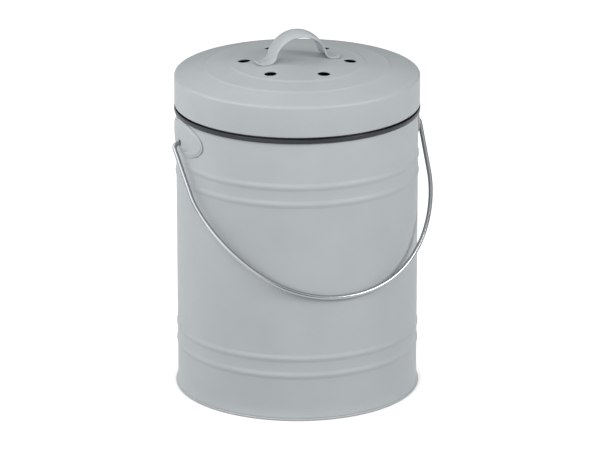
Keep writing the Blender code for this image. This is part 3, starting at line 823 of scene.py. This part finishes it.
def bail_half(side):
    """One half's centre line as (distance towards its side, distance from the hinge axis)."""
    at_shoulder, at_middle = BAIL_PULLS[side]
    shoulder_out = max(RIM_RADIUS, LID_RADIUS) + WIRE_RADIUS + BAIL_LID_CLEARANCE
    shoulder = Vector((shoulder_out, BAIL_SHOULDER_DROP))
    corner = Vector((WALL_RADIUS + BAIL_TOP_OFFSET, 0))
    leg = (shoulder - corner).normalized()
    half_turn = math.acos(-leg.x) / 2
    cut_back = BAIL_TURN_RADIUS / math.tan(half_turn)
    centre = corner + Vector((-cut_back, BAIL_TURN_RADIUS))
    sweep = math.pi - 2 * half_turn
    points = [Vector((WALL_RADIUS + WIRE_END_GAP, 0))]
    for i in range(TURN_POINTS):
        angle = -math.pi / 2 + sweep * i / (TURN_POINTS - 1)
        points.append(centre + BAIL_TURN_RADIUS * Vector((math.cos(angle), math.sin(angle))))
    middle = Vector((side * BAIL_BOW_ASIDE, BAIL_REACH))
    shoulder_pull = shoulder + leg * at_shoulder
    bow_pull = middle + Vector((at_middle, 0))
    bow = interpolate_bezier(shoulder, shoulder_pull, bow_pull, middle, BOW_POINTS)
    return points + [Vector((p.x, p.y)) for p in bow]


def bail_lean():
    """The bail's angle from straight down when its bow rests on the wall.

    It is set by the first point of the bow that reaches the wall.
    """
    reach = WALL_RADIUS + WIRE_RADIUS + GAP / 2
    lean_shares = [0.0]
    for out, down in bail_half(-1) + bail_half(1):
        if out < reach and down > 0:
            lean_shares.append(math.sqrt(reach**2 - out**2) / down)
    return math.asin(min(1.0, max(lean_shares)))


def make_bail(material):
    """A round wire swept along its line, with a UV map of (length along, way round) for its finish."""
    lean = bail_lean()
    flat = [Vector((-p.x, p.y)) for p in bail_half(-1)] + bail_half(1)[-2::-1]
    line = [Vector((p.x, -p.y * math.sin(lean), HINGE_Z - p.y * math.cos(lean))) for p in flat]
    normal = Vector((0, math.cos(lean), -math.sin(lean)))
    bm = bmesh.new()
    uv = bm.loops.layers.uv.new(WIRE_MAP)
    rows, lengths = [], []
    length = 0.0
    for i, point in enumerate(line):
        along = (line[min(i + 1, len(line) - 1)] - line[max(i - 1, 0)]).normalized()
        length += (point - line[max(i - 1, 0)]).length
        side = normal.cross(along)
        for shift, radius in end_rounding(i, len(line)):
            centre = point + along * shift
            ring = [centre + (normal * c + side * s) * radius for c, s in circle(WIRE_SIDES)]
            rows.append([bm.verts.new(p) for p in ring])
            lengths.append(length + shift)
    for r, (near, far) in enumerate(zip(rows, rows[1:])):
        for k in range(WIRE_SIDES):
            j = (k + 1) % WIRE_SIDES
            face = bm.faces.new((near[k], near[j], far[j], far[k]))
            around = [step / WIRE_SIDES * TAU * WIRE_RADIUS for step in (k, k + 1, k + 1, k)]
            along_wire = [lengths[row] for row in (r, r, r + 1, r + 1)]
            for loop, place in zip(face.loops, zip(along_wire, around)):
                loop[uv].uv = place
    for row in (rows[0], rows[-1]):
        bm.faces.new(row)
    bmesh.ops.recalc_face_normals(bm, faces=bm.faces)
    bail = add_object("wire_bail", mesh_from(bm, "wire_bail", material))
    bail.data.set_sharp_from_angle(angle=SHARP_ANGLE)
    return finish_piece(bail, "bail", "plated_wire", "bail_wire")


def end_rounding(i, count):
    """The rings at a point as (shift along the wire, radius): one, or a rounded edge's at the two ends."""
    if 0 < i < count - 1:
        return [(0.0, WIRE_RADIUS)]
    shifts = []
    for k in range(EDGE_POINTS):
        angle = math.pi / 2 * k / (EDGE_POINTS - 1)
        inset = WIRE_END_ROUND * (1 - math.sin(angle))
        shifts.append((WIRE_END_ROUND * (1 - math.cos(angle)), WIRE_RADIUS - inset))
    if i == 0:
        return shifts
    return [(-shift, radius) for shift, radius in reversed(shifts)]


def make_bucket(material):
    """The lift-out bucket. Its lip hooks over the wall's hem, and the lid sits over its collar."""
    hem_face = WALL_MID - SHEET - HEM_GAP - SHEET / 2
    top_radius = hem_face - BUCKET_CLEARANCE
    foot_radius = top_radius - BUCKET_TAPER
    floor = BASE_RECESS + BASE_RING_STEP + SHEET / 2 + BUCKET_FLOOR_GAP
    under_rim = WALL_TOP + GAP
    lip_inner = WALL_RADIUS + GAP
    lip_bottom = WALL_TOP - LIP_DROP
    collar_top = LID_SHOULDER - SHEET - GAP
    inner_top = COLLAR_RADIUS - PLASTIC
    turn = foot_radius - BUCKET_FILLET
    corners = [
        (top_radius, under_rim),
        (lip_inner, under_rim),
        (lip_inner, lip_bottom),
        (RIM_RADIUS, lip_bottom),
        (RIM_RADIUS, RIM_TOP),
        (COLLAR_RADIUS, RIM_TOP),
        (COLLAR_RADIUS, collar_top),
        (inner_top, collar_top),
        (inner_top, RIM_TOP),
        (top_radius - PLASTIC, under_rim),
    ]
    rim = rounded(corners, PLASTIC_EDGE)
    outline = [(0, floor + PLASTIC)]
    outline += arc(turn, floor + BUCKET_FILLET, BUCKET_FILLET - PLASTIC, -90, 0, CORNER_POINTS)
    outline += list(reversed(rim))
    outline += arc(turn, floor + BUCKET_FILLET, BUCKET_FILLET, 0, -90, CORNER_POINTS)
    outline.append((0, floor))
    bucket = turned("plastic_bucket", outline, material)
    return finish_piece(bucket, "bucket", "black_plastic", "inner_bucket")


def dome_points():
    """The lid's outer surface inside its corner, from the corner's end to the middle."""
    slope = math.atan2(OUTER_STEP_FOOT, LID_RADIUS - LID_CORNER - OUTER_STEP_RADIUS - STEP_HALF_WIDTH)
    corner_x = LID_RADIUS - LID_CORNER + LID_CORNER * math.sin(slope)
    corner_z = LID_SHOULDER - LID_CORNER + LID_CORNER * math.cos(slope)
    return [
        (corner_x, corner_z),
        (OUTER_STEP_RADIUS + STEP_HALF_WIDTH, LID_SHOULDER + OUTER_STEP_FOOT),
        (OUTER_STEP_RADIUS - STEP_HALF_WIDTH, LID_SHOULDER + OUTER_STEP_FOOT + OUTER_STEP_RISE),
        (INNER_STEP_RADIUS + STEP_HALF_WIDTH, LID_SHOULDER + INNER_STEP_FOOT),
        (INNER_STEP_RADIUS - STEP_HALF_WIDTH, LID_SHOULDER + INNER_STEP_FOOT + INNER_STEP_RISE),
        (CROWN_RADIUS, LID_SHOULDER + CROWN_RISE - CROWN_FALL),
        (0, LID_SHOULDER + CROWN_RISE),
    ]


def straight_dome_height(radius):
    """Height on the straight runs between the dome's points."""
    points = dome_points()
    radius = abs(radius)
    for (r_out, z_out), (r_in, z_in) in zip(points, points[1:]):
        if radius >= r_in:
            return z_in + (z_out - z_in) * (radius - r_in) / (r_out - r_in)
    return points[-1][1]


def dome_height(radius):
    """Height of the lid's outer surface, with the dome's creases eased over a short blend."""
    offsets = [STEP_BLEND * k / EDGE_POINTS for k in range(-EDGE_POINTS, EDGE_POINTS + 1)]
    heights = [straight_dome_height(radius + offset) for offset in offsets]
    offsets_from_rings = [abs(radius) - ring for ring in (OUTER_STEP_RADIUS, INNER_STEP_RADIUS)]
    rings = sum(cosine_share(offset, RING_HALF_WIDTH) for offset in offsets_from_rings)
    return sum(heights) / len(heights) + RING_LIFT * rings


def lid_line():
    """The lid's middle line: from the axis over the dome, down the skirt and up inside the hem."""
    mid = LID_RADIUS - SHEET / 2
    hem_width = SHEET + LID_HEM_GAP
    fold = hem_width / 2
    fold_z = LID_BOTTOM + SHEET / 2 + fold
    corner_x, corner_z = dome_points()[0]
    line = []
    for i in range(CROWN_ROWS):
        radius = corner_x * i / CROWN_ROWS
        line.append((radius, dome_height(radius) - SHEET / 2))
    turn_x, turn_z = LID_RADIUS - LID_CORNER, LID_SHOULDER - LID_CORNER
    start = math.degrees(math.asin((corner_z - turn_z) / LID_CORNER))
    line += arc(turn_x, turn_z, LID_CORNER - SHEET / 2, start, 0, CORNER_POINTS)
    line += arc(mid - fold, fold_z, fold, 0, -180, HEM_POINTS)
    line.append((mid - hem_width, fold_z + LID_HEM_DEPTH))
    return line


def press_vents(mesh):
    """Draws the sheet down a little round each vent, as the punch does."""
    step = TAU / VENT_COUNT
    for vertex in mesh.vertices:
        x, y, z = vertex.co
        if z < LID_SHOULDER:
            continue
        angle = math.atan2(y, x) - VENT_TURN
        angle -= round(angle / step) * step
        radius = math.hypot(x, y)
        ahead, aside = radius * math.cos(angle) - VENT_CIRCLE, radius * math.sin(angle)
        distance = math.hypot(ahead, aside) - VENT_RADIUS
        if distance < VENT_LIP_WIDTH:
            share = 1 - max(0.0, distance) / VENT_LIP_WIDTH
            vertex.co.z = z - VENT_LIP_DROP * share**2


def make_lid(material):
    """The lid: a turned sheet whose ring of vents is punched by one cutter."""
    lid = turned("stepped_lid", sheet_outline(lid_line(), SHEET), material, LID_STEPS)
    press_vents(lid.data)
    bm = bmesh.new()
    height = CROWN_RISE + CUTTER_OVERRUN
    made = bmesh.ops.create_cone(
        bm, cap_ends=True, segments=VENT_SIDES, radius1=VENT_RADIUS, radius2=VENT_RADIUS, depth=height
    )
    bmesh.ops.translate(bm, verts=made["verts"], vec=(VENT_CIRCLE, 0, LID_SHOULDER + height / 2))
    cutter = add_object("vent_punch", mesh_from(bm, "vent_punch", material))
    lid = cut_ring(lid, cutter, VENT_COUNT, VENT_TURN, material)
    return finish_piece(lid, "lid", "powder_coat", "lid_cap")


def strap_line():
    """Half of the strap's middle line, from the arch's top to the foot's tip.

    Each point is (x, rise over the dome, crown).
    """
    base = GAP + STRAP_SHEET / 2
    arch_height = STRAP_ARCH_HEIGHT - base
    line = []
    for i in range(STRAP_ARCH_POINTS):
        angle = STRAP_ARCH_TURN * i / (STRAP_ARCH_POINTS - 1)
        line.append((STRAP_ARCH_HALF * math.sin(angle), base + arch_height * math.cos(angle)))
    leg_x, leg_rise = line[-1]
    for i in range(1, STRAP_BEND_POINTS + 1):
        turn = math.pi / 2 * i / STRAP_BEND_POINTS
        out = leg_x + STRAP_FOOT_BEND * (1 - math.cos(turn))
        line.append((out, leg_rise + (base - leg_rise) * math.sin(turn)))
    flat_end = STRAP_HALF_SPAN - STRAP_TIP_RADIUS
    for i in range(STRAP_TIP_POINTS):
        turn = math.pi / 2 * i / (STRAP_TIP_POINTS - 1)
        line.append((flat_end + STRAP_TIP_RADIUS * math.sin(turn), base))
    return [(x, rise, STRAP_CROWN * math.sqrt(max(0.0, rise - base) / arch_height)) for x, rise in line]


def strap_half_width(x):
    """Half of the strap's width, which narrows round the foot's tip."""
    past = x - (STRAP_HALF_SPAN - STRAP_TIP_RADIUS)
    if past <= 0:
        return STRAP_WIDTH / 2
    inset = STRAP_TIP_RADIUS - math.sqrt(max(0.0, STRAP_TIP_RADIUS**2 - past**2))
    return STRAP_WIDTH / 2 - inset


def strap_marks(x, y):
    """Lift of the strap's marks: two darts at each foot's bend, a spot weld and a curled tip."""
    dart = math.exp(-(((abs(y) - STRAP_DART_ASIDE) / STRAP_DART_WIDTH) ** 2))
    dart *= math.exp(-(((abs(x) - STRAP_DART_REACH) / STRAP_DART_LENGTH) ** 2))
    weld = bump_share(math.hypot(abs(x) - STRAP_WELD_REACH, y), STRAP_WELD_RADIUS)
    curl = max(0.0, 1 - (STRAP_HALF_SPAN - abs(x)) / STRAP_TIP_CURL_LENGTH)
    return STRAP_DART_LIFT * dart - STRAP_WELD_DEPTH * weld + STRAP_TIP_CURL * curl**2


def make_strap(material):
    """A loft of cross-sections that are crowned on the arch and lie on the dome at the feet."""
    half = strap_line()
    line = [(-x, rise, crown) for x, rise, crown in reversed(half)] + half[1:]
    bm = bmesh.new()
    rows = []
    for x, rise, crown in line:
        half_width = strap_half_width(abs(x))
        lifted = min(1.0, rise / STRAP_ARCH_HEIGHT)
        row = []
        for i in range(STRAP_ACROSS + 1):
            share = math.sin(math.pi / 2 * (2 * i / STRAP_ACROSS - 1))
            y = half_width * share
            on_dome = dome_height(math.hypot(x, y))
            level = dome_height(0) * lifted + on_dome * (1 - lifted)
            edge = max(0.0, (abs(share) - STRAP_EDGE_START) / (1 - STRAP_EDGE_START))
            drop = crown * share**2 + STRAP_EDGE_ROLL * crown / STRAP_CROWN * edge**2
            z = level + rise - drop + strap_marks(x, y)
            row.append(bm.verts.new((x, y, z)))
        rows.append(row)
    bridge_rows(bm, [row[::-1] for row in rows], closed=False)
    strap = add_object("strap_handle", mesh_from(bm, "strap_handle", material))
    add_sheet(strap, STRAP_SHEET, STRAP_EDGE)
    return finish_piece(make_plain(strap), "lid", "powder_coat", "lid_handle")


def holder_top():
    """Height of the holder's top face, which follows the dome's underside at the holder's flange."""
    return straight_dome_height(HOLDER_RADIUS + HOLDER_FLANGE) - SHEET - GAP


def make_holder(material):
    """The ring under the dome that the filter's cover slides into."""
    outer = HOLDER_RADIUS + HOLDER_WALL
    edge = HOLDER_RADIUS + HOLDER_FLANGE
    top = holder_top()
    under = top - HOLDER_WALL
    bottom = top - HOLDER_DEPTH
    inner_top = straight_dome_height(HOLDER_RADIUS) - SHEET - GAP
    corners = [(edge, top), (edge, under), (outer, under), (outer, bottom)]
    corners += [(HOLDER_RADIUS, bottom), (HOLDER_RADIUS, inner_top)]
    holder = turned("holder_ring", rounded(corners, PLASTIC_EDGE), material)
    return finish_piece(holder, "lid", "black_plastic", "filter_holder")


def cover_levels():
    """Heights of the cover's plate: its lower and upper faces."""
    upper = holder_top() - HOLDER_DEPTH - GAP
    return upper - COVER_THICKNESS, upper


def slot_corners(inner):
    """One curved slot's outline, centred on +X, with rounded corners."""
    outer = inner + SLOT_WIDTH
    corners = []
    for radius, order in ((inner, 1), (outer, -1)):
        half = math.pi / SLOTS_ROUND - math.asin(SLOT_BRIDGE / 2 / radius)
        angles = [half * (2 * i / (SLOT_STEPS - 1) - 1) for i in range(SLOT_STEPS)]
        side = [(radius * math.cos(angle), radius * math.sin(angle)) for angle in angles]
        corners += side[::order]
    return rounded(corners, SLOT_CORNER)


def make_cover(material):
    """The filter's cover: a plate with three rings of slots and a low wall that fits the holder."""
    low, high = cover_levels()
    outer = HOLDER_RADIUS - FIT_CLEARANCE
    flange = HOLDER_RADIUS + HOLDER_WALL + COVER_FLANGE
    wall_top = high + COVER_WALL_HEIGHT
    corners = [(0, high), (outer - COVER_WALL, high), (outer - COVER_WALL, wall_top), (outer, wall_top)]
    corners += [(outer, high), (flange, high), (flange, low), (0, low)]
    cover = turned("slotted_cover", rounded(corners, PLASTIC_EDGE), material)
    for ring in range(SLOT_RINGS):
        inner = SLOT_FIRST_RADIUS + ring * (SLOT_WIDTH + SLOT_BRIDGE)
        first = math.pi / SLOTS_ROUND * (ring % 2)
        ends = (low - CUTTER_OVERRUN, high + CUTTER_OVERRUN)
        cutter = make_prism("slot_cutter", slot_corners(inner), *ends, material)
        cover = cut_ring(cover, cutter, SLOTS_ROUND, first, material)
    return finish_piece(cover, "filter", "black_plastic", "filter_cover")


def make_tab(material):
    """The cover's finger tab, a plate with rounded corners that starts inside the cover's flange."""
    low, high = cover_levels()
    start = HOLDER_RADIUS
    end = HOLDER_RADIUS + HOLDER_WALL + COVER_FLANGE + TAB_REACH
    side = [(start, TAB_WIDTH / 2)]
    side += arc(end - TAB_CORNER, TAB_WIDTH / 2 - TAB_CORNER, TAB_CORNER, 90, 0, CORNER_POINTS)
    corners = side + [(x, -y) for x, y in reversed(side)]
    tab = make_prism("cover_tab", corners, low + TAB_INSET, high - TAB_INSET, material)
    round_edges(tab, PLASTIC_EDGE)
    return finish_piece(make_plain(tab), "filter", "black_plastic")


def make_pad(material):
    """The carbon pad, a round cushion that lies on the cover."""
    low = cover_levels()[1] + GAP
    high = low + PAD_THICKNESS
    radius = HOLDER_RADIUS - FIT_CLEARANCE - COVER_WALL - PAD_CLEARANCE
    outline = [(0, high)]
    outline += arc(radius - PAD_EDGE, high - PAD_EDGE, PAD_EDGE, 90, 0, CORNER_POINTS)
    outline += arc(radius - PAD_EDGE, low + PAD_EDGE, PAD_EDGE, 0, -90, CORNER_POINTS)
    outline.append((0, low))
    pad = turned("felt_pad", outline, material)
    return finish_piece(pad, "filter", "carbon_felt", "carbon_filter")


def camera_side(angle, distance, height):
    """A place at an angle in degrees from the camera's side, counted towards the camera's right."""
    turn = CAMERA_TURN + math.radians(angle)
    return Vector((distance * math.sin(turn), -distance * math.cos(turn), height))


def point_at(obj, target):
    """Turns an object so that its -Z looks at a place."""
    obj.rotation_euler = (target - obj.location).to_track_quat("-Z", "Y").to_euler()


def add_camera():
    """The camera that the photograph's ellipses were fitted with."""
    camera = bpy.data.objects.new("Camera", bpy.data.cameras.new("Camera"))
    bpy.context.collection.objects.link(camera)
    camera.data.sensor_width = SENSOR_WIDTH
    camera.data.lens = FOCAL_PIXELS * SENSOR_WIDTH / PHOTO_WIDTH
    right = Vector((math.cos(CAMERA_TURN), math.sin(CAMERA_TURN), 0))
    target = right * CAMERA_ASIDE + Vector((0, 0, CAMERA_AIM_HEIGHT))
    away = camera_side(0, math.cos(CAMERA_PITCH), math.sin(CAMERA_PITCH))
    camera.location = target + away * CAMERA_DISTANCE
    point_at(camera, target)
    bpy.context.scene.camera = camera


def seen_ray(tree):
    """1 for what the camera sees directly, in gloss or through glass, and 0 for light on surfaces."""
    rays = add_node(tree, "ShaderNodeLightPath").outputs
    seen = rays["Is Camera Ray"]
    for other in ("Is Glossy Ray", "Is Transmission Ray"):
        pair = {0: seen, 1: rays[other]}
        seen = add_node(tree, "ShaderNodeMath", pair, operation="MAXIMUM").outputs[0]
    return seen


def add_world():
    """Even white surroundings, which are seen as white but light the pail only a little."""
    world = bpy.data.worlds.new("studio")
    world.use_nodes = True
    bpy.context.scene.world = world
    tree = world.node_tree
    span = {"Value": seen_ray(tree), "To Min": WORLD_LIGHT, "To Max": 1.0}
    strength = add_node(tree, "ShaderNodeMapRange", span).outputs["Result"]
    tree.links.new(strength, tree.nodes["Background"].inputs["Strength"])
    tree.nodes["Background"].inputs["Color"].default_value = (1, 1, 1, 1)


def add_floor():
    """A matt grey floor whose glow, which lights nothing, brings it to white.

    The pail's shadow stays, and the glow fades where the pail touches the floor: a painted contact shade,
    which gloss sees too.
    """
    bm = bmesh.new()
    bmesh.ops.create_grid(bm, x_segments=1, y_segments=1, size=FLOOR_SIZE / 2)
    material = bpy.data.materials.new("studio_floor")
    material.use_nodes = True
    tree = material.node_tree
    tree.nodes.remove(tree.nodes["Principled BSDF"])
    matt = add_node(tree, "ShaderNodeBsdfDiffuse", {"Color": linear(FLOOR_COLOUR)}).outputs[0]
    # Painted contact shade: ambient occlusion dims the glow near the pail, for the camera and for gloss
    near = {"Distance": CONTACT_SHADE_REACH}
    strength = add_node(tree, "ShaderNodeAmbientOcclusion", near).outputs["AO"]
    for share in (FLOOR_GLOW, seen_ray(tree)):
        product = add_node(tree, "ShaderNodeMath", {0: strength, 1: share}, operation="MULTIPLY")
        strength = product.outputs[0]
    glow = add_node(tree, "ShaderNodeEmission", {"Strength": strength}).outputs[0]
    both = add_node(tree, "ShaderNodeAddShader", {0: matt, 1: glow}).outputs[0]
    tree.links.new(both, tree.nodes["Material Output"].inputs["Surface"])
    add_object("studio_floor", mesh_from(bm, "studio_floor", material))


def add_dark_panels():
    """Black panels that only gloss sees. They give plastic and wire their dark reflections."""
    colour = linear(PANEL_COLOUR)
    material = new_finish("dark_panel", Roughness=1.0, Specular_IOR_Level=0.0, Base_Color=colour)[0]
    for angle, width, height in PANELS:
        bm = bmesh.new()
        bmesh.ops.create_grid(bm, x_segments=1, y_segments=1, size=UNIT_HALF)
        bmesh.ops.scale(bm, verts=bm.verts, vec=(width, height, 1))
        panel = add_object("dark_panel", mesh_from(bm, "dark_panel", material))
        panel.location = camera_side(angle, PANEL_DISTANCE, height / 2)
        point_at(panel, Vector((0, 0, height / 2)))
        panel.visible_camera = False
        panel.visible_diffuse = False
        panel.visible_shadow = False
        panel.visible_transmission = False


def add_softboxes():
    """Square area lamps round the pail, aimed at its middle."""
    for angle, height, distance, size, watts in SOFTBOXES:
        lamp = bpy.data.lights.new("softbox", "AREA")
        lamp.shape = "SQUARE"
        lamp.size = size
        lamp.energy = watts
        box = bpy.data.objects.new("softbox", lamp)
        bpy.context.collection.objects.link(box)
        box.location = camera_side(angle, distance, height)
        point_at(box, Vector((0, 0, CAMERA_AIM_HEIGHT)))


def main():
    """Makes the finishes, the pieces in their order and the studio."""
    coat, zinc, plastic, felt = powder_coat(), plated_wire(), black_plastic(), carbon_felt()
    make_wall(coat)
    make_seam(coat)
    make_base(coat)
    make_ear("pressed_ear_right", "ear_right", 1, coat)
    make_ear("pressed_ear_left", "ear_left", -1, coat)
    make_bail(zinc)
    make_bucket(plastic)
    make_lid(coat)
    make_strap(coat)
    make_holder(plastic)
    make_cover(plastic)
    make_tab(plastic)
    make_pad(felt)
    bpy.context.scene.view_settings.view_transform = "Standard"
    add_camera()
    add_world()
    add_floor()
    add_dark_panels()
    add_softboxes()


# The two trees that the pieces share
TURN = make_turn_tree()
RING_CUT = make_ring_cut_tree()

main()
